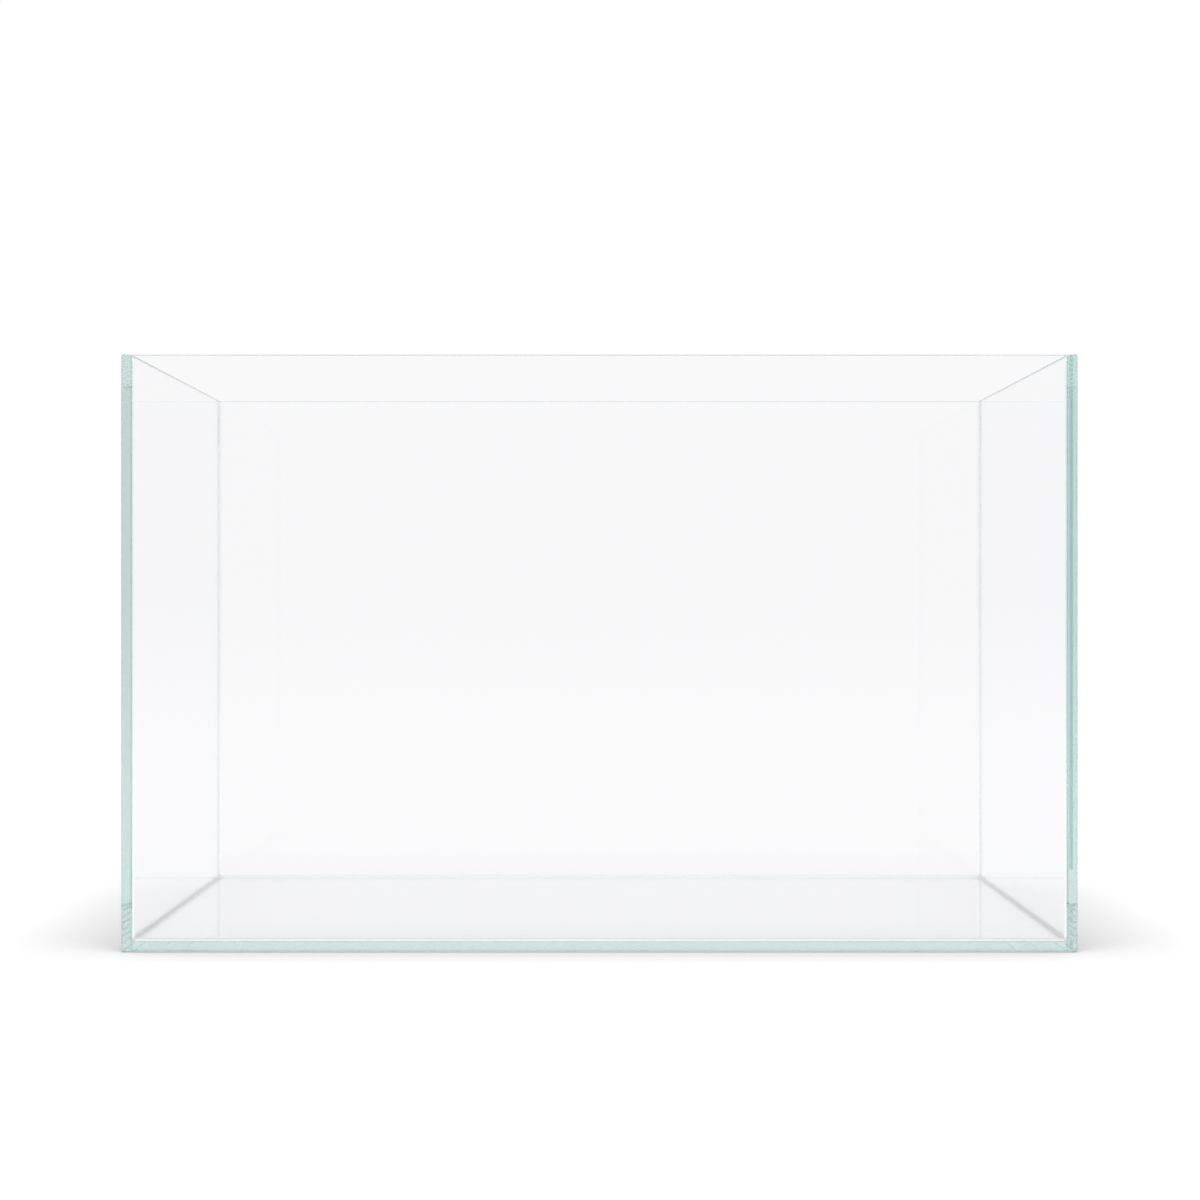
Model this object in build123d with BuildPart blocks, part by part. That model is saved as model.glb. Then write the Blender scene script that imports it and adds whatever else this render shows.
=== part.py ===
from build123d import *

import os
from math import sqrt

os.makedirs("parts", exist_ok=True)

# Rimless glass aquarium tank: five float-glass panes bonded with clear silicone.
# Millimetres, +Z up. The origin is the middle of the underside, +X runs along the
# length and the front wall faces -Y.

# ---- Driving dimensions ----
tank_length = 450.0  # outside, along X
tank_width = 280.0  # outside, front to back, along Y
tank_height = 281.0  # outside, underside to rim

wall_thickness = 4.8  # glass of the four upright walls, sold as 5 mm
base_thickness = 4.8  # glass of the bottom pane, sold as 5 mm

corner_bond = 0.3  # silicone between the mitre faces of two walls
base_bond = 0.3  # silicone between the bottom pane's edge and a wall
bond_recess = 0.3  # how far a corner bond stays inside the corner flat
bond_end_gap = 0.5  # how far a bond stays inside the rim and the underside

corner_bead_leg = 1.2  # how far an upright bead runs out along each wall
base_bead_leg = 1.4  # how far a bead along the bottom runs out, and up the wall
bead_hollow = 0.2  # how deep the tooled face of a bead is
bead_rim_gap = 1.2  # glass left bare between a corner bead and the rim

corner_arris = 0.8  # flat ground along each upright outer corner
rim_arris = 0.25  # bevel along both edges of the rim
foot_arris = 0.7  # bevel along the outer edges of the underside
foot_inner_arris = 0.4  # bevel along the inner edges of the walls' feet
base_arris = 0.3  # bevel along the lower edges of the bottom pane
rim_dub = 1.4  # size of the facet that takes the point off each rim corner
foot_dub = 2.0  # the same at the underside's corners

# ---- Worked out from them ----
half_length = tank_length / 2
half_width = tank_width / 2
mitre_set_back = corner_bond / sqrt(2)  # what half the bond takes off a wall's run
inner_length = tank_length - 2 * wall_thickness
inner_width = tank_width - 2 * wall_thickness

# A wall's plane lies on its outer face: local X runs along the wall, local Y points
# into the tank and local Z is up. Beside it stands the tank's size along that wall.
walls = {
    "front": (Plane((0, -half_width, 0), x_dir=(1, 0, 0)), tank_length),
    "right": (Plane((half_length, 0, 0), x_dir=(0, 1, 0)), tank_width),
    "back": (Plane((0, half_width, 0), x_dir=(-1, 0, 0)), tank_length),
    "left": (Plane((-half_length, 0, 0), x_dir=(0, -1, 0)), tank_width),
}

# A corner's plane has its origin on the corner that the two outer faces would meet
# in, with local X along the mitre, pointing into the tank.
corners = {
    f"{depth}_{side}": Plane((x * half_length, y * half_width, 0), x_dir=(-x, -y, 0))
    for depth, y in (("front", -1), ("back", 1))
    for side, x in (("left", -1), ("right", 1))
}


def save(part, name):
    """Label a finished piece and write it as its own STEP file."""
    part.label = name
    export_step(part, f"parts/{name}.step")
    print(f"{name}: {part.volume:.2f} mm3")


# ---- Outer envelope ----
# The block whose faces, corner flats, bevels and corner facets the assembled walls
# share. It isn't a piece: each wall is cut out of it.
with BuildPart() as envelope:
    Box(tank_length, tank_width, tank_height, align=(Align.CENTER, Align.CENTER, Align.MIN))
    chamfer(envelope.edges().filter_by(Axis.Z), corner_arris)
    chamfer(envelope.faces().sort_by(Axis.Z)[-1].edges(), rim_arris)
    chamfer(envelope.faces().sort_by(Axis.Z)[0].edges(), foot_arris)
    for x_side in (-1, 1):
        for y_side in (-1, 1):
            for z_corner, z_side, dub in ((0, -1, foot_dub), (tank_height, 1, rim_dub)):
                corner_point = Vector(x_side * half_length, y_side * half_width, z_corner)
                outward = Vector(x_side, y_side, z_side).normalized()
                facet = Plane(corner_point - outward * (dub / sqrt(3)), z_dir=outward)
                split(bisect_by=facet, keep=Keep.BOTTOM)

# ---- Hollow ----
# The space inside the walls, with the bevels along the inner edges of the rim and the feet.
with BuildPart() as hollow:
    Box(
        inner_length,
        inner_width,
        tank_height,
        align=(Align.CENTER, Align.CENTER, Align.MIN),
    )
    with BuildSketch(Plane.XY.offset(tank_height)):
        Rectangle(inner_length + 2 * rim_arris, inner_width + 2 * rim_arris)
    extrude(amount=-rim_arris, taper=45)
    with BuildSketch():
        Rectangle(inner_length + 2 * foot_inner_arris, inner_width + 2 * foot_inner_arris)
    extrude(amount=foot_inner_arris, taper=45)


# ---- Walls ----
def wall_pane(name, plane, run):
    """One upright pane, its ends mitred and set back by half the corner bond."""
    with BuildPart() as pane:
        with BuildSketch(plane):
            with BuildLine():
                outer = run / 2 - mitre_set_back
                inner = outer - wall_thickness
                Polyline(
                    (-outer, 0),
                    (outer, 0),
                    (inner, wall_thickness),
                    (-inner, wall_thickness),
                    close=True,
                )
            make_face()
        extrude(amount=tank_height)
        add(envelope.part, mode=Mode.INTERSECT)
        add(hollow.part, mode=Mode.SUBTRACT)
    save(pane.part, f"{name}_pane")


for wall_name, (wall_plane, wall_run) in walls.items():
    wall_pane(wall_name, wall_plane, wall_run)

# ---- Bottom pane ----
# It stands on the same surface as the walls, inside them, with the base bond around it.
with BuildPart() as base_pane:
    Box(
        inner_length - 2 * base_bond,
        inner_width - 2 * base_bond,
        base_thickness,
        align=(Align.CENTER, Align.CENTER, Align.MIN),
    )
    chamfer(base_pane.faces().sort_by(Axis.Z)[0].edges(), base_arris)
save(base_pane.part, "base_pane")


# ---- Corner bonds ----
def corner_bond_film(plane):
    """The silicone between two mitre faces, from the corner flat to the inner faces."""
    film_start = corner_arris / sqrt(2) + bond_recess
    film_end = sqrt(2) * wall_thickness + corner_bond / 2
    with BuildPart() as film:
        with BuildSketch(plane.offset(bond_end_gap)):
            with Locations(((film_start + film_end) / 2, 0)):
                Rectangle(film_end - film_start, corner_bond)
        extrude(amount=tank_height - 2 * bond_end_gap)
    return film.part


corner_films = {name: corner_bond_film(plane) for name, plane in corners.items()}
for corner_name, corner_film in corner_films.items():
    save(corner_film, f"{corner_name}_corner_bond")


def clear_of_corner_films():
    """Cut the piece under construction back to the ends of the four corner bonds."""
    for film in corner_films.values():
        add(film, mode=Mode.SUBTRACT)


# ---- Base bonds ----
def base_bond_film(name, plane, run):
    """The silicone between the bottom pane's edge and one wall, mitred at its ends."""
    with BuildPart() as film:
        with BuildSketch(plane.offset(bond_end_gap)):
            with BuildLine():
                outer = run / 2 - wall_thickness
                inner = outer - base_bond
                Polyline(
                    (-outer, wall_thickness),
                    (outer, wall_thickness),
                    (inner, wall_thickness + base_bond),
                    (-inner, wall_thickness + base_bond),
                    close=True,
                )
            make_face()
        extrude(amount=base_thickness - bond_end_gap)
        clear_of_corner_films()
    save(film.part, f"{name}_base_bond")


for wall_name, (wall_plane, wall_run) in walls.items():
    base_bond_film(wall_name, wall_plane, wall_run)


# ---- Beads ----
def bead_profile(leg):
    """Two legs out of the sealed corner, closed by the hollow arc that a finishing tool leaves.

    The sealed corner is the sketch's origin.
    """
    with BuildSketch() as section:
        with BuildLine():
            arc_middle = leg / 2 - bead_hollow / sqrt(2)
            Polyline((0, leg), (0, 0), (leg, 0))
            ThreePointArc((leg, 0), (arc_middle, arc_middle), (0, leg))
        make_face()
    return section.sketch


base_bead_section = bead_profile(base_bead_leg)
corner_bead_section = bead_profile(corner_bead_leg)


def base_bead(name, plane, run):
    """The bead in the angle between one wall and the bottom pane, mitred at its ends."""
    along = plane.x_dir
    foot_of_wall = plane.origin + plane.y_dir * wall_thickness + Vector(0, 0, base_thickness)
    with BuildPart() as bead:
        with BuildSketch(Plane(foot_of_wall, x_dir=plane.y_dir, z_dir=along)):
            add(base_bead_section)
        extrude(amount=run / 2 - wall_thickness, both=True)
        for end in (-1, 1):
            mitre_foot = foot_of_wall + along * (end * (run / 2 - wall_thickness))
            split(
                bisect_by=Plane(mitre_foot, z_dir=along * end + plane.y_dir),
                keep=Keep.BOTTOM,
            )
        clear_of_corner_films()
    return bead.part


base_beads = {name: base_bead(name, plane, run) for name, (plane, run) in walls.items()}
for wall_name, bead_part in base_beads.items():
    save(bead_part, f"{wall_name}_base_bead")


def corner_bead(name, plane):
    """The bead in one upright inner corner, standing on the two base beads."""
    inner_corner = plane.origin + plane.x_dir * (sqrt(2) * wall_thickness)
    with BuildPart() as bead:
        with BuildSketch(Plane(inner_corner, x_dir=plane.x_dir).offset(base_thickness)):
            add(corner_bead_section, rotation=-45)
        extrude(amount=tank_height - base_thickness - bead_rim_gap)
        for neighbour in base_beads.values():
            add(neighbour, mode=Mode.SUBTRACT)
        clear_of_corner_films()
    save(bead.part, f"{name}_corner_bead")


for corner_name, corner_plane in corners.items():
    corner_bead(corner_name, corner_plane)
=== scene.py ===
"""Dresses a rimless glass aquarium tank in low-iron glass and clear silicone, and lights it.

The five panes are the frame's own solids. The silicone is modelled here: sixteen pieces, each of
which stands a hair inside the glass that it bonds, so that light passes from one to the other as
it does through cured silicone.
"""

import logging
import math
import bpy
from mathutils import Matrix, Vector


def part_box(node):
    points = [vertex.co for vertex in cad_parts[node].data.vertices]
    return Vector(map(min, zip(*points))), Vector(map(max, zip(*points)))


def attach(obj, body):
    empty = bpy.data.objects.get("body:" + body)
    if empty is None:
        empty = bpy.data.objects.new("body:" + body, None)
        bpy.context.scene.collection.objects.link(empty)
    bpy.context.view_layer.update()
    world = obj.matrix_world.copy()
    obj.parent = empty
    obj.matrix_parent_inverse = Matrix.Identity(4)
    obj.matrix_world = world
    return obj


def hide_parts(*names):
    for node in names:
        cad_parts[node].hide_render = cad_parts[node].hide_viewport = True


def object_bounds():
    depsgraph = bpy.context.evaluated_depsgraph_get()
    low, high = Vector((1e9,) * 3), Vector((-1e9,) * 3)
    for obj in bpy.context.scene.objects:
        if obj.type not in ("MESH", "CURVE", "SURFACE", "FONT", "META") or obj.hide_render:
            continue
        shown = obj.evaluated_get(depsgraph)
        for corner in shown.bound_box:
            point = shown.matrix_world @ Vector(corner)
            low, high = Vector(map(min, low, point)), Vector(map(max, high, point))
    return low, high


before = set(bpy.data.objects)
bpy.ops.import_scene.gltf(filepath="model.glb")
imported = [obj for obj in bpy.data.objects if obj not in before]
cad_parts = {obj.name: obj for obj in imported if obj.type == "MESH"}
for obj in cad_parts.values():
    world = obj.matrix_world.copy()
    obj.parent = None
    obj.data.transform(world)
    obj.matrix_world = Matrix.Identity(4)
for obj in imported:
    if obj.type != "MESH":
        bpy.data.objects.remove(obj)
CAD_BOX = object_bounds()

import zlib
from dataclasses import dataclass
from enum import Enum
from functools import cache
from typing import Any, Callable

import bpy
import numpy as np

log = logging.getLogger("tank")
Array = np.ndarray
Colour = tuple[float, float, float, float]
MM = 0.001


def grey(level: float) -> Colour:
    """The colour that is as bright as level in all three channels."""
    return (level, level, level, 1.0)


WHITE = grey(1.0)


# ---------------------------------------------------------------------------------------
# Sizes
# ---------------------------------------------------------------------------------------


@dataclass(frozen=True)
class TankSizes:
    """The tank's sizes in metres, read from the frame's own solids.

    The tank is centred on the Z axis and stands on z = 0, with its front wall at -Y.

    Attributes:
        half_length: Half the outside length, along X.
        half_width: Half the outside width, along Y.
        wall: How thick the walls are.
        base: How thick the bottom pane is, which is also where its upper face lies.
        corner_bond: How thick the silicone film between two walls is.
        base_bond: How thick the film between the bottom pane and a wall is.
        film_start: How far a corner film starts from the outer corner, along the diagonal.
        bond_foot: The height of every film's lower end.
        bond_head: The height of a corner film's upper end.
        corner_bead_leg: How far an upright bead runs out along each wall.
        base_bead_leg: How far a bead along the bottom runs out, and up the wall.
        bead_head: The height of an upright bead's upper end.
    """

    half_length: float
    half_width: float
    wall: float
    base: float
    corner_bond: float
    base_bond: float
    film_start: float
    bond_foot: float
    bond_head: float
    corner_bead_leg: float
    base_bead_leg: float
    bead_head: float

    @classmethod
    def from_frame(cls) -> "TankSizes":
        """Measure the panes, bonds and beads.

        A corner film lies along the mitre's diagonal, so its box reaches from the outer corner
        as far as its own length along the diagonal and half its thickness across, over the
        root of two.

        Returns:
            The sizes of the tank as it was packed.
        """
        low, high = CAD_BOX
        front_low, front_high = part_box("front_pane")
        bead_low, bead_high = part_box("front_base_bead")
        upright_low, upright_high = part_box("front_left_corner_bead")
        film_low, film_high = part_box("front_base_bond")
        corner_low, corner_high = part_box("front_left_corner_bond")
        wall = front_high.y - front_low.y
        corner_bond = (corner_high.x - low[0] - wall) * math.sqrt(2)
        return cls(
            half_length=(high[0] - low[0]) / 2,
            half_width=(high[1] - low[1]) / 2,
            wall=wall,
            base=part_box("base_pane")[1].z,
            corner_bond=corner_bond,
            base_bond=film_high.y - film_low.y,
            film_start=(corner_low.x - low[0]) * math.sqrt(2) + corner_bond / 2,
            bond_foot=corner_low.z,
            bond_head=corner_high.z,
            corner_bead_leg=upright_high.x - upright_low.x,
            base_bead_leg=bead_high.y - bead_low.y,
            bead_head=upright_high.z,
        )

    @property
    def film_cut(self) -> float:
        """How far from the inner corner a corner film's inner edges are, along each wall."""
        return self.corner_bond / math.sqrt(2)


class Side(Enum):
    """A wall of the tank, as its outward direction in plan."""

    FRONT = (0, -1)
    RIGHT = (1, 0)
    BACK = (0, 1)
    LEFT = (-1, 0)

    @property
    def word(self) -> str:
        """The wall's name as the nodes spell it."""
        return self.name.lower()


# ---------------------------------------------------------------------------------------
# Shader graphs
# ---------------------------------------------------------------------------------------


class Value:
    """A socket that carries a number, with arithmetic that adds Math nodes to its graph."""

    def __init__(self, graph: "Graph", socket: Any) -> None:
        """Wrap socket, which belongs to a node of graph."""
        self.graph = graph
        self.socket = socket

    def _math(self, operation: str, *terms: Any) -> "Value":
        """Add a Math node that applies operation to terms."""
        return Value(self.graph, self.graph.add("ShaderNodeMath", {"operation": operation}, terms))

    def __add__(self, other: Any) -> "Value":
        """Self plus other."""
        return self._math("ADD", self, other)

    def __sub__(self, other: Any) -> "Value":
        """Self less other."""
        return self._math("SUBTRACT", self, other)

    def __rsub__(self, other: Any) -> "Value":
        """Other less self."""
        return self._math("SUBTRACT", other, self)

    def __mul__(self, other: Any) -> "Value":
        """Self times other."""
        return self._math("MULTIPLY", self, other)

    def __lt__(self, other: Any) -> "Value":
        """One where self is less than other, else zero."""
        return self._math("LESS_THAN", self, other)

    def __gt__(self, other: Any) -> "Value":
        """One where self is more than other, else zero."""
        return self._math("GREATER_THAN", self, other)

    def __or__(self, other: Any) -> "Value":
        """The larger of self and other, which for masks is either of them."""
        return self._math("MAXIMUM", self, other)

    def size(self) -> "Value":
        """Self without its sign."""
        return self._math("ABSOLUTE", self)

    def sign(self) -> "Value":
        """One, zero or minus one, as self is above, at or below zero."""
        return self._math("SIGN", self)

    __radd__ = __add__
    __rmul__ = __mul__


MOST_FACES_ACROSS = 6  # a ray that crosses two panes and a bead meets this many faces


class Graph:
    """A node tree under construction."""

    def __init__(self, tree: bpy.types.NodeTree) -> None:
        """Empty tree and start building in it."""
        tree.nodes.clear()
        self.tree = tree

    def add(
        self,
        kind: str,
        settings: dict[str, Any] | None = None,
        inputs: Any = None,
        out: Any = 0,
    ) -> Any:
        """Add a node.

        Args:
            kind: The node's type.
            settings: Properties of the node, set before its sockets.
            inputs: Values or links, as a list in socket order or a dict by socket name.
            out: Name or number of the output to return.

        Returns:
            That output socket, or None for a node without outputs.
        """
        node = self.tree.nodes.new(kind)
        for name, value in (settings or {}).items():
            setattr(node, name, value)
        pairs = inputs.items() if isinstance(inputs, dict) else enumerate(inputs or ())
        for key, value in pairs:
            source = value.socket if isinstance(value, Value) else value
            if isinstance(source, bpy.types.NodeSocket):
                self.tree.links.new(source, node.inputs[key])
            elif source is not None:
                node.inputs[key].default_value = source
        return node.outputs[out] if len(node.outputs) else None

    def axes(self, vector: Any) -> list[Value]:
        """The X, Y and Z parts of a vector socket."""
        node = self.add("ShaderNodeSeparateXYZ", inputs=[vector]).node
        return [Value(self, socket) for socket in node.outputs]

    def mix(self, factor: Value, first: Any, second: Any) -> Any:
        """The colour that goes from first to second while factor goes from zero to one."""
        colours = {0: factor, 6: first, 7: second}
        return self.add("ShaderNodeMix", {"data_type": "RGBA"}, colours, out=2)

    def mix_shaders(self, factor: Value, first: Any, second: Any) -> Any:
        """The shader that goes from first to second while factor goes from zero to one."""
        return self.add("ShaderNodeMixShader", inputs=[factor, first, second])

    def let_lamp_through(self, surface: Any, share: float) -> Any:
        """Let a share of the lamp's light through a surface that would cast a full shadow."""
        opening = self.add("ShaderNodeBsdfTransparent", inputs={"Color": grey(share)})
        return self.mix_shaders(self.ray("Is Shadow Ray"), surface, opening)

    def ray(self, name: str) -> Value:
        """The Light Path output called name, such as Is Camera Ray."""
        return Value(self, self.add("ShaderNodeLightPath", out=name))

    def in_glass(self) -> Value:
        """One for a ray that glass has mirrored or let through, else zero."""
        return self.ray("Is Glossy Ray") | self.ray("Is Transmission Ray")

    def through_edge(self) -> Value:
        """One for a ray that has run along inside the glass, as one seen in an edge has.

        A ray that crosses two panes meets four of their faces on its way, and six where it
        also crosses a bead. One seen in an edge is mirrored inside the glass and meets more.
        """
        return self.in_glass() * (self.ray("Ray Depth") > MOST_FACES_ACROSS)


# ---------------------------------------------------------------------------------------
# Finishes
# ---------------------------------------------------------------------------------------


@dataclass(frozen=True)
class Finish:
    """A finish that a piece can be dressed in."""

    name: str

    def build(self, graph: Graph) -> None:
        """Fill graph with this finish's nodes."""
        raise NotImplementedError

    @cache
    def material(self) -> bpy.types.Material:
        """Make the material.

        Returns:
            The material, made once for each finish.
        """
        made = bpy.data.materials.new(self.name)
        made.use_nodes = True
        self.build(Graph(made.node_tree))
        return made


LEVEL_RISE = 0.95  # a face is level where its normal rises or falls by more than this
UPRIGHT_RISE = 0.1  # and upright where it does so by less than this
CORNER_FLAT_LEAN = 1.2  # on a corner flat, what a normal leans out along X and Y adds up to more


@dataclass(frozen=True)
class Glass(Finish):
    """Polished low-iron float glass.

    Attributes:
        lamp_share: How much of a lamp's light each of its faces lets through.
        ior: Its index of refraction.
        tint: What its body lets through, as the absorption's colour.
        tint_depth: How fast it absorbs the rest.
        bevel_roughness: How rough the bevels and the corner facets are ground.
        flat_roughness: How rough the flats along the upright corners are ground.
    """

    lamp_share: float
    ior: float = 1.52
    tint: Colour = (0.0, 0.445, 0.356, 1.0)
    tint_depth: float = 1.74
    bevel_roughness: float = 0.3
    flat_roughness: float = 0.12

    def ground(self, graph: Graph) -> Value:
        """How rough the ground edges are, and zero on the polished faces.

        The bevels of the rim and of the foot, and the facets that take the corners' points
        off, are neither level nor upright. The flats along the upright corners are upright,
        and their normals lean away from the tank's axis along X and Y alike, so that the two
        add up to the root of two. On a wall's faces they add up to one at most, and on the
        mitre faces to zero.

        Args:
            graph: The finish's graph.

        Returns:
            The roughness at each point.
        """
        nx, ny, nz = graph.axes(graph.add("ShaderNodeNewGeometry", out="True Normal"))
        px, py, _ = graph.axes(graph.add("ShaderNodeTexCoord", out="Object"))
        sloped = (nz.size() > UPRIGHT_RISE) * (nz.size() < LEVEL_RISE)
        corner_flat = (nx * px.sign() + ny * py.sign() > CORNER_FLAT_LEAN) * (1.0 - sloped)
        return sloped * self.bevel_roughness | corner_flat * self.flat_roughness

    def build(self, graph: Graph) -> None:
        """Clear glass that bends light and tints it along its way, with ground edges.

        Args:
            graph: The material's graph.
        """
        clear = graph.add(
            "ShaderNodeBsdfPrincipled",
            inputs={
                "Base Color": WHITE,
                "Roughness": self.ground(graph),
                "IOR": self.ior,
                "Transmission Weight": 1.0,
            },
        )
        surface = graph.let_lamp_through(clear, self.lamp_share)
        absorption = {"Color": self.tint, "Density": self.tint_depth}
        body = graph.add("ShaderNodeVolumeAbsorption", inputs=absorption)
        graph.add("ShaderNodeOutputMaterial", inputs={"Surface": surface, "Volume": body})


@dataclass(frozen=True)
class Silicone(Finish):
    """Clear cured silicone.

    Attributes:
        ior: Its index of refraction.
        roughness: How much its skin blurs what is seen through it.
        gloss: How much of a glossy skin it has, which mirrors what is seen at a glancing angle.
        gloss_ior: The skin's index of refraction.
        lamp_share: How much of a lamp's light each of its faces lets through.
    """

    ior: float = 1.41
    roughness: float = 0.05
    gloss: float = 0.0
    gloss_ior: float = 2.3
    lamp_share: float = 0.8

    def build(self, graph: Graph) -> None:
        """Clear rubber that bends light less than glass.

        Args:
            graph: The material's graph.
        """
        clear = graph.add(
            "ShaderNodeBsdfPrincipled",
            inputs={
                "Base Color": WHITE,
                "Roughness": self.roughness,
                "IOR": self.ior,
                "Transmission Weight": 1.0,
                "Coat Weight": self.gloss,
                "Coat Roughness": self.roughness,
                "Coat IOR": self.gloss_ior,
            },
        )
        surface = graph.let_lamp_through(clear, self.lamp_share)
        graph.add("ShaderNodeOutputMaterial", inputs={"Surface": surface})


# ---------------------------------------------------------------------------------------
# Meshes
# ---------------------------------------------------------------------------------------

BlockShape = Callable[[Array, Array, Array], Array]
Solid = tuple[Array, Array]

# How finely the pieces are divided along their three grid directions.
BEAD_STEPS = (8, 8, 240)  # twice across and once along
CORNER_FILM_STEPS = (4, 1, 120)  # along the mitre, across it and up
BASE_FILM_STEPS = (3, 4, 80)  # up, through its thickness and along the wall
BUBBLE_STEPS = (6, 6, 6)

SHARP_EDGE = math.radians(35)  # an edge that bends by more is shaded sharp


def signed_volume(corners: Array, faces: Array) -> float:
    """The volume that quads close in, which is negative where they point inwards.

    Each quad is two triangles, and each triangle adds a sixth of the product of its first
    corner with the cross product of the other two.

    Args:
        corners: The places of the corners.
        faces: The quads, as four numbers of corners each.

    Returns:
        The volume.
    """
    first, second, third, fourth = (corners[faces[:, k]] for k in range(4))
    halves = np.cross(second, third) + np.cross(third, fourth)
    return float((first * halves).sum() / 6)


def make_mesh(name: str, solids: list[Solid]) -> bpy.types.Mesh:
    """Join closed solids into one mesh.

    Args:
        name: The mesh's name.
        solids: Each an array of corners and one of quads.

    Returns:
        The mesh.
    """
    starts = np.cumsum([0] + [len(corners) for corners, _ in solids])
    mesh = bpy.data.meshes.new(name)
    corners = np.concatenate([corners for corners, _ in solids])
    faces = np.concatenate([faces + start for (_, faces), start in zip(solids, starts)])
    mesh.from_pydata(corners.tolist(), [], faces.tolist())
    mesh.update()
    return mesh


def block(shape: BlockShape, steps: tuple[int, int, int]) -> Solid:
    """Bend the unit cube's surface into a closed solid.

    Each of the cube's six faces is a grid of points (a, b, c) from 0 to 1, and shape moves each
    point to its place. Points that two faces share are merged, so the mesh is closed.

    Args:
        shape: Takes arrays a, b and c and returns an array of places with a last axis of 3.
        steps: How many steps the grids have along a, b and c.

    Returns:
        The corners and the quads, which point outwards.
    """
    places: list[Array] = []
    quads: list[Array] = []
    start = 0
    for axis in range(3):
        first, second = [k for k in range(3) if k != axis]
        lines = [np.linspace(0, 1, steps[k] + 1) for k in (first, second)]
        u, v = np.meshgrid(*lines, indexing="ij")
        for end in (0.0, 1.0):
            cube = np.empty(u.shape + (3,))
            cube[..., first], cube[..., second], cube[..., axis] = u, v, end
            places.append(cube.reshape(-1, 3))
            number = np.arange(u.size).reshape(u.shape) + start
            ring = [number[:-1, :-1], number[1:, :-1], number[1:, 1:], number[:-1, 1:]]
            quad = np.stack(ring, -1).reshape(-1, 4)
            # The middle axis's grids turn the other way round than those of the two others.
            outward = (end == 1.0) == (axis != 1)
            quads.append(quad if outward else quad[:, ::-1])
            start += u.size
    cube_points = np.round(np.concatenate(places), decimals=9)
    unique, merged = np.unique(cube_points, axis=0, return_inverse=True)
    corners = shape(unique[:, 0], unique[:, 1], unique[:, 2])
    faces = merged.reshape(-1)[np.concatenate(quads)]
    return corners, faces if signed_volume(corners, faces) > 0 else faces[:, ::-1]


def bubbles(centres: Array, radii: Array) -> Solid:
    """Round cavities, as the unit cube's surface blown up to spheres.

    Each point of the cube's surface, counted from the cube's middle, is divided by its own
    length, then multiplied by the radius. The quads point into the cavity, since that is out
    of the rubber around it.

    Args:
        centres: One place for each bubble.
        radii: One radius for each bubble.

    Returns:
        The corners and quads of all the bubbles.
    """

    def ball(a: Array, b: Array, c: Array) -> Array:
        """The unit sphere."""
        spread = np.column_stack([a, b, c]) - 0.5
        return spread / np.linalg.norm(spread, axis=1, keepdims=True)

    corners, faces = block(ball, BUBBLE_STEPS)
    places = centres[:, None, :] + radii[:, None, None] * corners
    numbers = faces[:, ::-1] + len(corners) * np.arange(len(radii))[:, None, None]
    return places.reshape(-1, 3), numbers.reshape(-1, 4)


def chance_for(name: str) -> np.random.Generator:
    """The random numbers that belong to a piece's name, the same on every run."""
    return np.random.default_rng(zlib.crc32(name.encode()))


def ripple(along: Array, name: str, amount: float) -> Array:
    """A smooth, small unevenness: three sine waves of different lengths and phases, added.

    Args:
        along: Distance along the piece in metres.
        name: The piece's name, which picks the waves' phases.
        amount: The largest value that the sum comes near.

    Returns:
        The unevenness at each distance, in the unit of amount.
    """
    lengths = np.array([0.11, 0.043, 0.017])
    shares = np.array([0.5, 0.3, 0.2])
    phases = chance_for(name).uniform(0, 2 * math.pi, lengths.size)
    waves = np.sin(2 * math.pi * along[..., None] / lengths + phases)
    return amount * (waves * shares).sum(-1)


def add_silicone(mesh: bpy.types.Mesh, node: str, finish: Finish) -> None:
    """Put a silicone piece's mesh into the scene in place of its CAD node.

    Args:
        mesh: The piece's mesh, already in its place.
        node: The CAD node that it stands for.
        finish: What it is dressed in.
    """
    piece = bpy.data.objects.new(f"{node}_silicone", mesh)
    bpy.context.scene.collection.objects.link(piece)
    mesh.materials.append(finish.material())
    mesh.polygons.foreach_set("use_smooth", np.ones(len(mesh.polygons), bool))
    mesh.set_sharp_from_angle(angle=SHARP_EDGE)
    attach(piece, "root")
    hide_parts(node)
    log.info("%s: %d faces", piece.name, len(mesh.polygons))


# ---------------------------------------------------------------------------------------
# Sub-assemblies
# ---------------------------------------------------------------------------------------


@dataclass(frozen=True)
class GlassBox:
    """The five panes, which keep the frame's own meshes.

    All are of the same glass. They differ in how much of the lamp's light they are taken to
    let through, because glass also throws back light that the lamp's shadows don't know: the
    rear wall, which the lamp only grazes, throws nearly all of it back to the floor.

    Attributes:
        front_wall: The front wall's glass.
        side_walls: The left and the right walls' glass.
        rear_wall: The rear wall's glass.
        base: The bottom pane's glass.
    """

    front_wall: Glass = Glass("low_iron_glass_front", lamp_share=0.4)
    side_walls: Glass = Glass("low_iron_glass_sides", lamp_share=0.56)
    rear_wall: Glass = Glass("low_iron_glass_rear", lamp_share=0.95)
    base: Glass = Glass("low_iron_glass_base", lamp_share=0.9)

    def dress(self) -> None:
        """Give each pane its glass."""
        finishes = {
            "front_pane": self.front_wall,
            "back_pane": self.rear_wall,
            "left_pane": self.side_walls,
            "right_pane": self.side_walls,
            "base_pane": self.base,
        }
        for node, finish in finishes.items():
            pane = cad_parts[node]
            pane.data.materials.clear()
            pane.data.materials.append(finish.material())
            log.info("%s: %s", node, finish.name)


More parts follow.
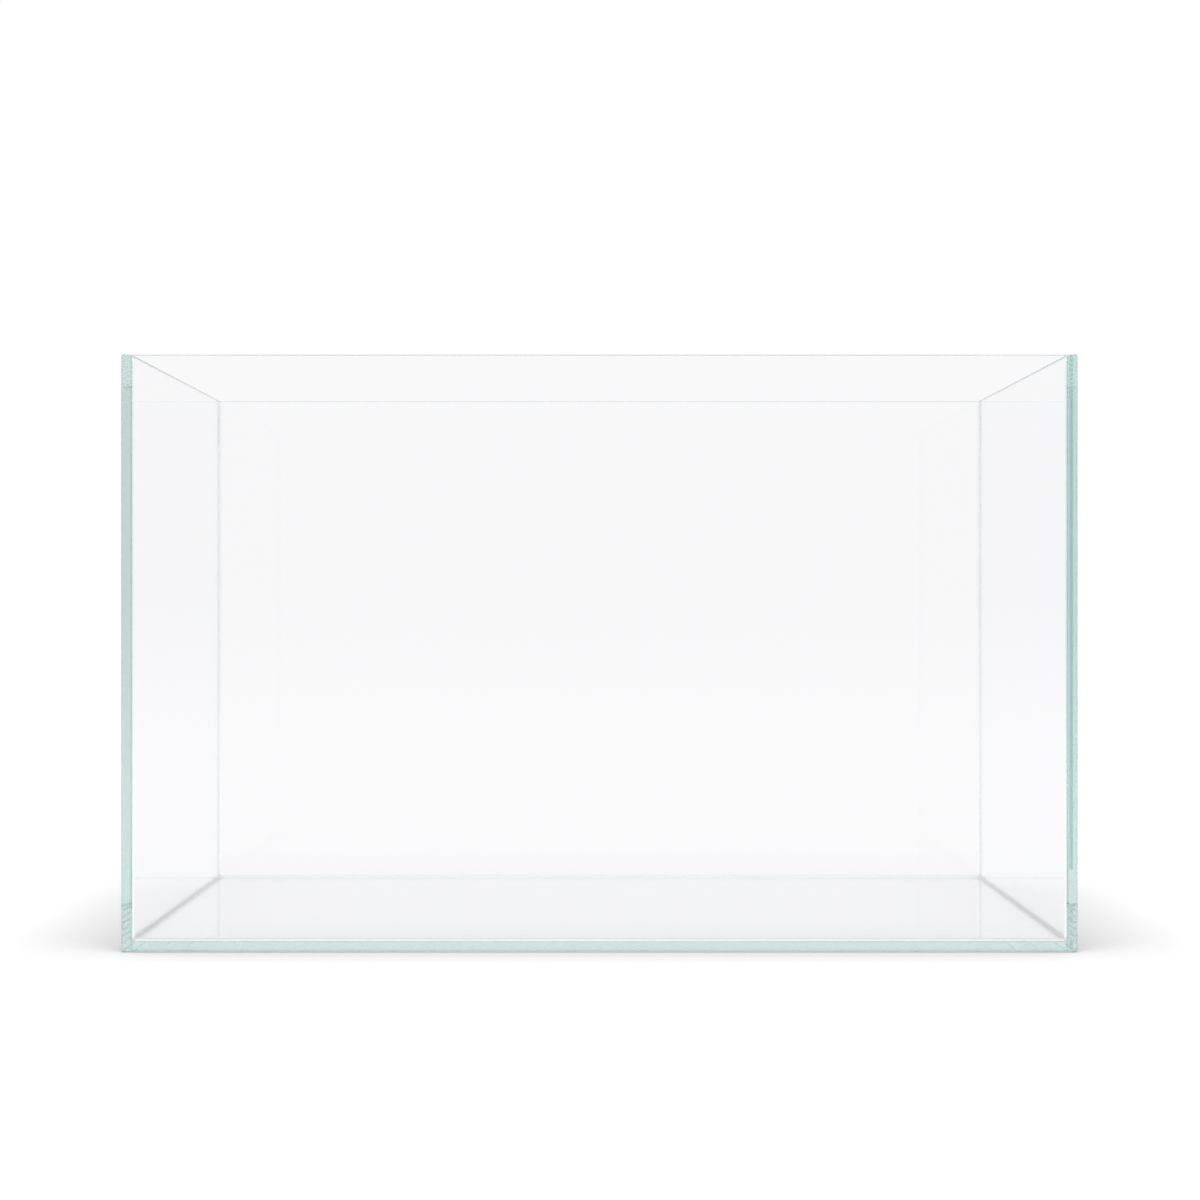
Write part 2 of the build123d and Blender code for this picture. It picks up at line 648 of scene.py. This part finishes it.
@dataclass(frozen=True)
class BeadSection:
    """A sealing bead's section, between the two faces that it seals.

    Places in it are distances (p, q) from the second face and from the first, so the toes are
    at (leg, 0) and (0, leg). The tooled face between them is an arc of a circle whose centre
    is as far from one face as from the other.

    Attributes:
        leg: How far the bead runs out along each face.
        hollow: How deep the tooled face is.
        overlap: How far it stands inside what it is bonded to.
        knee: Where the bond film's corner lies along the edge from the sealed corner to a
            toe, as a share of that edge's grid.
    """

    leg: float
    hollow: float = 0.2 * MM
    overlap: float = 0.03 * MM
    knee: float = 0.125

    @property
    def centre(self) -> float:
        """The arc's centre, as its distance from either face.

        The arc's middle is half a leg, less the hollow over the root of two, from each face.
        Equal distances from the centre to the middle and to a toe give the centre: the square
        of the leg less twice the square of the middle, over twice the leg less four middles.
        """
        middle = self.leg / 2 - self.hollow / math.sqrt(2)
        return (self.leg**2 - 2 * middle**2) / (2 * self.leg - 4 * middle)

    @property
    def radius(self) -> float:
        """The arc's radius, by Pythagoras from its centre to a toe."""
        return math.hypot(self.centre - self.leg, self.centre)

    def height(self, depth: Array) -> Array:
        """How far from one face the arc is, at a distance of depth from the other face."""
        inside = np.clip(depth, 0, self.leg)
        return self.centre - np.sqrt(self.radius**2 - (self.centre - inside) ** 2)

    def place(self, a: Array, b: Array, grow: Array, cut: float) -> tuple[Array, Array]:
        """Bend the unit square into the section.

        The square's corner (0, 0) goes to the sealed corner, (1, 0) and (0, 1) to the toes and
        (1, 1) to the middle of the arc. Inside, each point is the sum of what its two pairs of
        opposite edges give, less what the four corners give: a Coons patch.

        Args:
            a: From the sealed corner towards the first toe.
            b: From the sealed corner towards the second toe.
            grow: The factor on the whole section, for each point.
            cut: How far from the sealed corner the bond film's edges are.

        Returns:
            The distances p and q.
        """
        cut = max(cut, 2 * self.overlap)
        marks = [0, self.knee, 1]

        def floor_edge(t: Array) -> tuple[Array, Array]:
            """The edge from the sealed corner to a toe, around the bond film's corner.

            Args:
                t: From 0 at the sealed corner to 1 at the toe.

            Returns:
                How far out along the face each point is, and how far off it.
            """
            out = np.interp(t, marks, [cut / 2, cut, self.leg])
            up = np.interp(t, marks, [cut / 2, 0, 0])
            return out - self.overlap * (1 - t), up - self.overlap

        def arc_edge(t: Array) -> tuple[Array, Array]:
            """The edge from a toe to the middle of the arc.

            Args:
                t: From 0 at the toe to 1 at the middle.

            Returns:
                How far each point is out along the toe's face, and how far off it.
            """
            toe = math.atan2(self.centre, self.centre - self.leg)
            turn = toe + (math.pi / 4 - toe) * t
            out = self.centre - self.radius * np.cos(turn)
            up = self.centre - self.radius * np.sin(turn)
            return out, up - self.overlap * (t == 0)

        floor_a, floor_b = floor_edge(a), floor_edge(b)
        arc_a, arc_b = arc_edge(a), arc_edge(b)
        ends = [edge(np.array([0.0, 1.0])) for edge in (floor_edge, arc_edge)]
        (root_p, toe_p), (root_q, toe_q) = ends[0]
        middle = ends[1][0][1]
        p = (1 - b) * floor_a[0] + b * arc_a[1] + (1 - a) * floor_b[1] + a * arc_b[0]
        q = (1 - b) * floor_a[1] + b * arc_a[0] + (1 - a) * floor_b[0] + a * arc_b[1]
        near_root, near_first, near_second = (1 - a) * (1 - b), a * (1 - b), (1 - a) * b
        p -= near_root * root_p + near_first * toe_p + near_second * toe_q + a * b * middle
        q -= near_root * root_q + near_first * toe_q + near_second * toe_p + a * b * middle
        return p * grow, q * grow


@dataclass(frozen=True)
class CornerJoint:
    """The bond film and the bead of one upright corner.

    Attributes:
        sizes: The tank's sizes.
        section: The bead's section.
        base_section: The section of the beads that it stands on.
        x_side: -1 for a left corner, 1 for a right one.
        y_side: -1 for a front corner, 1 for a back one.
        end_round: How long the rounded end of the bead is.
        end_share: How much of its section the bead keeps at the very tip of that end.
        film_unevenness: How far the film's outer end wanders in and out.
        bead_unevenness: How much thicker and thinner the bead gets, as a share of its leg.
    """

    sizes: TankSizes
    section: BeadSection
    base_section: BeadSection
    x_side: int
    y_side: int
    end_round: float = 1.2 * MM
    end_share: float = 0.03
    film_unevenness: float = 0.1 * MM
    bead_unevenness: float = 0.04

    @property
    def name(self) -> str:
        """The corner's name as the nodes spell it."""
        depth = "front" if self.y_side < 0 else "back"
        return f"{depth}_left" if self.x_side < 0 else f"{depth}_right"

    @property
    def sides(self) -> Array:
        """The corner's direction from the tank's axis, as signs along X and Y."""
        return np.array([self.x_side, self.y_side])

    def bond_mesh(self) -> bpy.types.Mesh:
        """The film between two mitre faces: a slab along the mitre, uneven at its outer end.

        Returns:
            The mesh.
        """
        sizes, overlap = self.sizes, self.section.overlap
        corner = self.sides * np.array([sizes.half_length, sizes.half_width])
        inward = -self.sides / math.sqrt(2)
        across = np.array([-inward[1], inward[0]])
        end = math.sqrt(2) * sizes.wall + sizes.corner_bond / 2

        def shape(a: Array, b: Array, c: Array) -> Array:
            """Place the slab's points.

            Args:
                a: From 0 at the outer end to 1 at the inner end.
                b: Across the mitre.
                c: Up.

            Returns:
                The places.
            """
            z = sizes.bond_foot + (sizes.bond_head - sizes.bond_foot) * c
            start = sizes.film_start + ripple(z, self.name, self.film_unevenness)
            u = start + (end - start) * a
            v = (b - 0.5) * (sizes.corner_bond + 2 * overlap)
            return np.column_stack([corner + u[:, None] * inward + v[:, None] * across, z])

        return make_mesh(f"{self.name}_film", [block(shape, CORNER_FILM_STEPS)])

    def bead_mesh(self) -> bpy.types.Mesh:
        """The bead in the inner corner, standing on the base beads, with a round upper end.

        Towards its tip the section shrinks as a ball's does: by the root of one less the
        square of how far along the rounded end it is.

        Returns:
            The mesh.
        """
        sizes, section = self.sizes, self.section
        corner = self.sides * (np.array([sizes.half_length, sizes.half_width]) - sizes.wall)

        def shape(a: Array, b: Array, c: Array) -> Array:
            """Place the bead's points.

            Args:
                a: Over the section, as BeadSection takes it.
                b: The same.
                c: Up.

            Returns:
                The places.
            """
            level = sizes.base + (sizes.bead_head - sizes.base) * c
            near_end = np.clip(1 - (sizes.bead_head - level) / self.end_round, 0, 1)
            shrink = np.sqrt(1 - (1 - self.end_share) * near_end**2)
            grow = (1 + ripple(level, self.name, self.bead_unevenness)) * shrink
            p, q = section.place(a, b, grow, sizes.film_cut)
            foot = self.base_section.height(np.minimum(p, q)) - section.overlap
            plan = corner - self.sides * np.column_stack([p, q])
            return np.column_stack([plan, level + (1 - c) * foot])

        return make_mesh(f"{self.name}_upright", [block(shape, BEAD_STEPS)])

    def build(self, film: Finish, bead: Finish) -> None:
        """Make the film and the bead, each in its finish."""
        add_silicone(self.bond_mesh(), f"{self.name}_corner_bond", film)
        add_silicone(self.bead_mesh(), f"{self.name}_corner_bead", bead)


@dataclass(frozen=True)
class BaseJoint:
    """The bond film and the bead along the foot of one wall.

    Attributes:
        sizes: The tank's sizes.
        section: The beads' section.
        side: The wall.
        bubble_spans: Where air is trapped in the bead, each as an end (-1 or 1) and how far
            the bubbles start and stop from the inner corner there.
        bubble_pitch: How far apart the bubbles are.
        bubble_stray: How far off its place one may be, as a share of the pitch.
        bubble_radius: How large they are.
        bubble_shares: The smallest and the largest of them, as shares of that radius.
        bubble_depths: How far they may be from either face, as shares of the bead's leg.
        unevenness: How much thicker and thinner the bead gets, as a share of its leg.
    """

    sizes: TankSizes
    section: BeadSection
    side: Side
    bubble_spans: tuple[tuple[int, float, float], ...] = ()
    bubble_pitch: float = 3.2 * MM
    bubble_stray: float = 0.2
    bubble_radius: float = 0.3 * MM
    bubble_shares: tuple[float, float] = (0.7, 1.1)
    bubble_depths: tuple[float, float] = (0.26, 0.32)
    unevenness: float = 0.04

    def along_wall(self, c: Array, depth: Array, z: Array) -> Array:
        """Place points beside the wall's inner face, between its two mitred ends.

        At either end the piece stops at the mitre between two walls, or at the corner film
        where that comes first, and overlaps by a hair what it meets there.

        Args:
            c: From 0 at one end to 1 at the other.
            depth: Distance from the wall's inner face.
            z: Height.

        Returns:
            The places.
        """
        outward = np.array(self.side.value, float)
        along = np.array([-outward[1], outward[0]])
        reach = np.array([self.sizes.half_length, self.sizes.half_width]) - self.sizes.wall
        half_run = float(np.abs(along * reach).sum())
        stop = np.maximum(depth, self.sizes.film_cut - depth) - self.section.overlap
        run = (2 * c - 1) * (half_run - stop)
        plan = outward * reach + run[:, None] * along - depth[:, None] * outward
        return np.column_stack([plan, z])

    def bond_mesh(self) -> bpy.types.Mesh:
        """The film between the bottom pane's edge and the wall.

        Returns:
            The mesh.
        """
        sizes, overlap = self.sizes, self.section.overlap

        def shape(a: Array, b: Array, c: Array) -> Array:
            """Place the film's points.

            Args:
                a: Up.
                b: Through its thickness, away from the wall.
                c: Along the wall.

            Returns:
                The places.
            """
            z = sizes.bond_foot + (sizes.base - sizes.bond_foot) * a
            return self.along_wall(c, b * (sizes.base_bond + 2 * overlap) - overlap, z)

        return make_mesh(f"{self.side.word}_film", [block(shape, BASE_FILM_STEPS)])

    def bead_mesh(self) -> bpy.types.Mesh:
        """The bead in the angle between the wall and the bottom pane.

        Returns:
            The mesh.
        """
        sizes, section = self.sizes, self.section

        def shape(a: Array, b: Array, c: Array) -> Array:
            """Place the bead's points.

            Args:
                a: Over the section, as BeadSection takes it.
                b: The same.
                c: Along the wall.

            Returns:
                The places.
            """
            grow = 1 + ripple(c * sizes.half_length * 2, self.side.word, self.unevenness)
            depth, rise = section.place(a, b, grow, 0.0)
            return self.along_wall(c, depth, sizes.base + rise)

        solids = [block(shape, BEAD_STEPS)]
        if self.bubble_spans:
            solids.append(self.bubble_solid())
        return make_mesh(f"{self.side.word}_fillet", solids)

    def bubble_solid(self) -> Solid:
        """Air trapped in the bead near its ends, in rows as the gun left it.

        The bubbles lie about bubble_pitch apart, each a little off its place, and their
        centres are as far from the wall as from the bottom pane. This holds for the front
        wall, which is the one that has them.

        Returns:
            The cavities' corners and quads.
        """
        sizes = self.sizes
        chance = chance_for(self.side.word)
        rows = [(end, np.arange(near, far, self.bubble_pitch)) for end, near, far in self.bubble_spans]
        ends = np.concatenate([np.full(row.size, end) for end, row in rows])
        stray = chance.uniform(-self.bubble_stray, self.bubble_stray, ends.size)
        back = np.concatenate([row for _, row in rows]) + stray * self.bubble_pitch
        radii = self.bubble_radius * chance.uniform(*self.bubble_shares, ends.size)
        depth = self.section.leg * chance.uniform(*self.bubble_depths, ends.size)
        x = ends * (sizes.half_length - sizes.wall - back)
        y = depth + sizes.wall - sizes.half_width
        return bubbles(np.column_stack([x, y, sizes.base + depth]), radii)

    def build(self, film: Finish, bead: Finish) -> None:
        """Make the film and the bead, each in its finish."""
        add_silicone(self.bond_mesh(), f"{self.side.word}_base_bond", film)
        add_silicone(self.bead_mesh(), f"{self.side.word}_base_bead", bead)


@dataclass(frozen=True)
class Sealing:
    """All the silicone: the joints of the four upright corners and of the four walls' feet.

    Attributes:
        sizes: The tank's sizes.
        film: The finish of the films between the panes.
        corner_bead: The finish of the upright beads.
        base_bead: The finish of the beads along the bottom.
        front_air: Where air is trapped in the front base bead, as BaseJoint takes it.
    """

    sizes: TankSizes
    film: Silicone = Silicone("silicone_film", roughness=0.0)
    corner_bead: Silicone = Silicone("silicone_corner_bead")
    base_bead: Silicone = Silicone("silicone_base_bead", gloss=1.0)
    front_air: tuple[tuple[int, float, float], ...] = (
        (-1, 15 * MM, 30 * MM),
        (1, 4 * MM, 30 * MM),
    )

    def build(self) -> None:
        """Make the sixteen pieces."""
        upright = BeadSection(self.sizes.corner_bead_leg)
        along_base = BeadSection(self.sizes.base_bead_leg)
        for y_side in (-1, 1):
            for x_side in (-1, 1):
                joint = CornerJoint(self.sizes, upright, along_base, x_side, y_side)
                joint.build(self.film, self.corner_bead)
        for side in Side:
            air = self.front_air if side is Side.FRONT else ()
            BaseJoint(self.sizes, along_base, side, air).build(self.film, self.base_bead)


# ---------------------------------------------------------------------------------------
# Studio
# ---------------------------------------------------------------------------------------


@dataclass(frozen=True)
class FloorFinish(Finish):
    """A matt white sweep that takes the tank's shadow and is white away from it.

    Attributes:
        colour: Its paint.
        glass_colour: What its paint looks like through glass: a little darker, as painted shade on the
            floor under and behind the tank, and a little lilac.
        glow: What is added to it where it is looked at, to lift it to the backdrop's white.
        glass_glow: The same where it is looked at through glass.
        edge_level: How bright it looks in the glass's edges, where light has reached it by
            ways through the panes that shadows don't know.
        edge_share: How much of its look in the edges that is.
        pane_glow: How bright it looks through the panes by light that they have thrown back
            and forth, which fills the tank's shadow.
        pane_share: How much of its look through the panes that is.
    """

    colour: Colour = (0.9, 0.9, 0.9, 1.0)
    glass_colour: Colour = (0.88, 0.872, 0.888, 1.0)
    glow: float = 0.1
    glass_glow: float = 0.06
    edge_level: float = 1.08
    edge_share: float = 0.85
    pane_glow: Colour = (0.885, 0.875, 0.895, 1.0)
    pane_share: float = 0.5

    def build(self, graph: Graph) -> None:
        """Matt white, lifted where it is looked at and evened out where the glass shows it.

        Args:
            graph: The material's graph.
        """
        in_glass = graph.in_glass()
        # Through glass the paint is a little darker, as painted shade under and behind the tank, and a
        # little lilac.
        paint = graph.mix(in_glass, self.colour, self.glass_colour)
        matt = graph.add(
            "ShaderNodeBsdfPrincipled",
            inputs={"Base Color": paint, "Roughness": 1.0, "Specular IOR Level": 0.0},
        )
        glow = graph.ray("Is Camera Ray") * self.glow + in_glass * self.glass_glow
        lift = graph.add("ShaderNodeEmission", inputs={"Color": WHITE, "Strength": glow})
        lit = graph.add("ShaderNodeAddShader", inputs=[matt, lift])
        along = graph.through_edge()
        across = in_glass * (1.0 - along)
        even_tone = graph.mix(along, self.pane_glow, grey(self.edge_level))
        even = graph.add("ShaderNodeEmission", inputs={"Color": even_tone, "Strength": 1.0})
        share = along * self.edge_share + across * self.pane_share
        surface = graph.mix_shaders(share, lit, even)
        graph.add("ShaderNodeOutputMaterial", inputs={"Surface": surface})


@dataclass(frozen=True)
class Studio:
    """The white sweep, the overhead softbox, the surrounding light and the camera.

    Attributes:
        sizes: The tank's sizes.
        floor_half: Half the sweep's length, and how far it reaches in front of the tank.
        floor_back: How far it reaches behind.
        floor_drop: How far under the tank it lies, so that no two faces coincide.
        behind_glow: The sweep's pane_glow behind the tank, where less shadow falls.
        fill: How bright the room is to matt surfaces.
        room_level: How bright the room in front of the glass is, as the panes mirror it.
        room_dip: How steeply down a mirrored ray looks where the room has turned white.
        outer_faces: How many faces a ray may meet and still mirror that room.
        ceiling_start: How steeply up a ray looks where it meets the white ceiling.
        ceiling_gain: How much brighter the ceiling looks in the glass's edges.
        fade_start: How steeply up a ray looks where the backdrop starts to turn grey.
        fade_rate: How much darker it gets through the panes for each unit further up.
        fade_limit: The most that it gets darker.
        pane_tone: What the backdrop looks like through the panes.
        edge_level: How bright the backdrop looks in the glass's edges, level and above.
        edge_rise: How much brighter it looks there for each unit that a ray looks down.
        card_tone: What a teal card far behind the tank looks like. Only the right wall's edge
            shows it.
        card_share: Where the card starts and stops in that edge, as shares of the wall's
            thickness from its inner face.
        lamp_height: How high the softbox hangs.
        lamp_size: Its length and width.
        lamp_ahead: How far in front of the tank it hangs.
        lamp_level: How bright it makes a white floor.
        lens: The camera's focal length in millimetres.
        camera_distance: How far the camera is from the front wall.
        camera_height: How high it stands.
        camera_side: How far it stands to the right.
        bounces: How many faces a ray may meet.
    """

    sizes: TankSizes
    floor_half: float = 1.2
    floor_back: float = 0.32
    floor_drop: float = 0.2 * MM
    behind_glow: Colour = (0.97, 0.96, 0.975, 1.0)
    fill: float = 0.2
    room_level: float = 0.45
    room_dip: float = 0.074
    outer_faces: int = 2
    ceiling_start: float = 0.11
    ceiling_gain: float = 0.08
    fade_start: float = 0.1
    fade_rate: float = 1.8
    fade_limit: float = 0.08
    pane_tone: Colour = (0.978, 0.969, 0.984, 1.0)
    edge_level: float = 0.955
    edge_rise: float = 1.0
    card_tone: Colour = (0.49, 0.685, 0.705, 1.0)
    card_share: tuple[float, float] = (0.17, 0.5)
    lamp_height: float = 20.0
    lamp_size: tuple[float, float] = (8.8, 7.9)
    lamp_ahead: float = 1.73
    lamp_level: float = 0.9
    lens: float = 74.57
    camera_distance: float = 1.1685
    camera_height: float = 0.1655
    camera_side: float = 0.3 * MM
    bounces: int = 192

    def add_sheet(self, finish: Finish, near: float, far: float) -> None:
        """Add one level sheet of the sweep.

        Args:
            finish: What it is dressed in, whose name it takes.
            near: Where its front edge lies along Y.
            far: Where its rear edge lies along Y.
        """
        half, z = self.floor_half, -self.floor_drop
        mesh = bpy.data.meshes.new(finish.name)
        corners = [(-half, near, z), (half, near, z), (half, far, z), (-half, far, z)]
        mesh.from_pydata(corners, [], [(0, 1, 2, 3)])
        mesh.materials.append(finish.material())
        sheet = bpy.data.objects.new(finish.name, mesh)
        bpy.context.scene.collection.objects.link(sheet)
        log.info("%s: %.2f to %.2f m", sheet.name, near, far)

    def build_floor(self) -> None:
        """Lay the sweep just under the tank, in one sheet up to its rear wall and one behind."""
        rear = self.sizes.half_width
        behind = FloorFinish("white_sweep_behind", pane_glow=self.behind_glow)
        self.add_sheet(FloorFinish("white_sweep"), -self.floor_half, rear)
        self.add_sheet(behind, rear, self.floor_back)

    def card_slopes(self) -> list[float]:
        """The directions in which the card starts and stops, as run to the left over run back.

        The camera sees the right wall's edge in directions that run to the right. Inside, a
        ray is mirrored from left to right an odd number of times, so it leaves the edge as
        steeply to the left.

        Returns:
            The two slopes.
        """
        inner_face = self.sizes.half_length - self.sizes.wall - self.camera_side
        return [
            (inner_face + self.sizes.wall * share) / self.camera_distance
            for share in self.card_share
        ]

    def build_world(self) -> None:
        """White where it is looked at, plain and even where it lights matt surfaces.

        What is looked at through the panes turns slightly grey towards the top. What the
        first faces of the glass mirror is the room in front of it: grey at the level, white
        a little below it and white again from the ceiling up. What is looked at in the
        glass's edges has a level of its own, and the card's tone in the card's directions.
        """
        world = bpy.data.worlds.new("studio")
        bpy.context.scene.world = world
        world.use_nodes = True
        world.cycles.sampling_method = "NONE"
        graph = Graph(world.node_tree)
        right, back, up = graph.axes(graph.add("ShaderNodeTexCoord", out="Generated"))
        down = (0.0 - up) | 0.0
        in_glass = graph.in_glass()
        shown = (graph.ray("Is Camera Ray") | in_glass) * (graph.ray("Diffuse Depth") < 1)
        along = graph.through_edge()
        turned_back = graph.ray("Is Reflection Ray") * (graph.ray("Ray Depth") < self.outer_faces + 1)
        dark = ((1.0 - down * (1.0 / self.room_dip)) | 0.0) * (up < self.ceiling_start)
        fade = self.fade_limit - ((self.fade_limit - (up - self.fade_start) * self.fade_rate) | 0.0)
        pane = 1.0 - turned_back * dark * (1.0 - self.room_level) - (fade | 0.0) * in_glass
        edge = self.edge_level + down * self.edge_rise + (up > self.ceiling_start) * self.ceiling_gain
        level = shown * (pane * (1.0 - along) + edge * along) + (1.0 - shown) * self.fill
        near, far = self.card_slopes()
        left = 0.0 - right
        card = (back > 0.0) * (left > back * near) * (left < back * far)
        plain = graph.mix(in_glass * shown, WHITE, self.pane_tone)
        tone = graph.mix(along * card, plain, self.card_tone)
        background = graph.add("ShaderNodeBackground", inputs={"Color": tone, "Strength": level})
        graph.add("ShaderNodeOutputWorld", inputs={"Surface": background})

    def build_lamp(self) -> None:
        """Hang one large softbox over the tank.

        Straight below a small flat lamp, a white floor looks as bright as the lamp's power
        over the square of pi and the square of its height.
        """
        lamp = bpy.data.lights.new("softbox", "AREA")
        lamp.shape = "RECTANGLE"
        lamp.size, lamp.size_y = self.lamp_size
        lamp.energy = self.lamp_level * math.pi**2 * self.lamp_height**2
        lamp_object = bpy.data.objects.new("softbox", lamp)
        lamp_object.location = (0.0, -self.lamp_ahead, self.lamp_height)
        lamp_object.visible_camera = False
        lamp_object.visible_glossy = False
        lamp_object.visible_transmission = False
        bpy.context.scene.collection.objects.link(lamp_object)
        log.info("softbox: %.2f W, %.1f by %.1f m", lamp.energy, *self.lamp_size)

    def build_camera(self) -> None:
        """Set the camera level in front of the tank."""
        camera = bpy.data.cameras.new("camera")
        camera.lens = self.lens
        camera_object = bpy.data.objects.new("camera", camera)
        camera_object.location = (
            self.camera_side,
            -self.sizes.half_width - self.camera_distance,
            self.camera_height,
        )
        camera_object.rotation_euler = (math.pi / 2, 0.0, 0.0)
        bpy.context.scene.collection.objects.link(camera_object)
        bpy.context.scene.camera = camera_object

    def build(self) -> None:
        """Set up the whole studio."""
        self.build_camera()
        self.build_floor()
        self.build_world()
        self.build_lamp()
        scene = bpy.context.scene
        scene.view_settings.view_transform = "Standard"
        scene.cycles.max_bounces = self.bounces
        scene.cycles.transmission_bounces = self.bounces
        scene.cycles.glossy_bounces = self.bounces
        scene.cycles.transparent_max_bounces = self.bounces


def main() -> None:
    """Build the studio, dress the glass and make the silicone."""
    logging.basicConfig(level=logging.INFO, format="%(name)s: %(message)s")
    sizes = TankSizes.from_frame()
    Studio(sizes).build()
    GlassBox().dress()
    Sealing(sizes).build()


if __name__ == "__main__":
    main()
